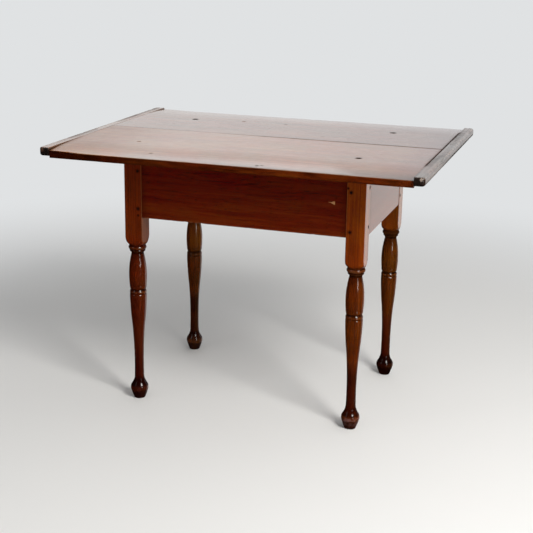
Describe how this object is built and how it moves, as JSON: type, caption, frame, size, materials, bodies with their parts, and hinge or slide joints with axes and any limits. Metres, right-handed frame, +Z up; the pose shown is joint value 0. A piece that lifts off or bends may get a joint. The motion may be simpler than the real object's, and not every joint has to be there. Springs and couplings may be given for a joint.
{
  "type": "tavern table",
  "caption": "Wooden tavern table: plank top held between breadboard ends, over a deep-aproned, pegged frame on turned legs with vase turnings, long tapers and ball feet.",
  "frame": {"origin": "on the floor, under the middle of the top", "axes": "+X along the table's length to its right end, +Y from front to back, +Z up"},
  "size_m": [0.91, 0.69, 0.66],
  "materials": {
    "top_boards": "old varnish, worn satin",
    "breadboard_ends": "old varnish, worn and darkened",
    "aprons": "dark red varnish, semi-gloss",
    "legs": "red-brown varnish, semi-gloss, dark in the turnings",
    "pegs": "darkened end grain"
  },
  "bodies": {
    "root": {"leg_front_left": "legs", "leg_front_right": "legs", "leg_back_right": "legs", "leg_back_left": "legs", "apron_front": "aprons", "apron_right": "aprons", "apron_back": "aprons", "apron_left": "aprons", "top_board_front": "top_boards", "top_board_back": "top_boards", "breadboard_left": "breadboard_ends", "breadboard_right": "breadboard_ends", "pegs_apron_front_left": "pegs", "pegs_apron_front_right": "pegs", "pegs_apron_back_left": "pegs", "pegs_apron_back_right": "pegs", "pegs_apron_left_front": "pegs", "pegs_apron_left_back": "pegs", "pegs_apron_right_front": "pegs", "pegs_apron_right_back": "pegs", "top_peg_front_left": "pegs", "top_peg_front_right": "pegs", "top_peg_back_left": "pegs", "top_peg_back_right": "pegs", "top_peg_back_apron": "pegs", "breadboard_pegs_left": "pegs", "breadboard_pegs_right": "pegs"}
  },
  "joints": []
}
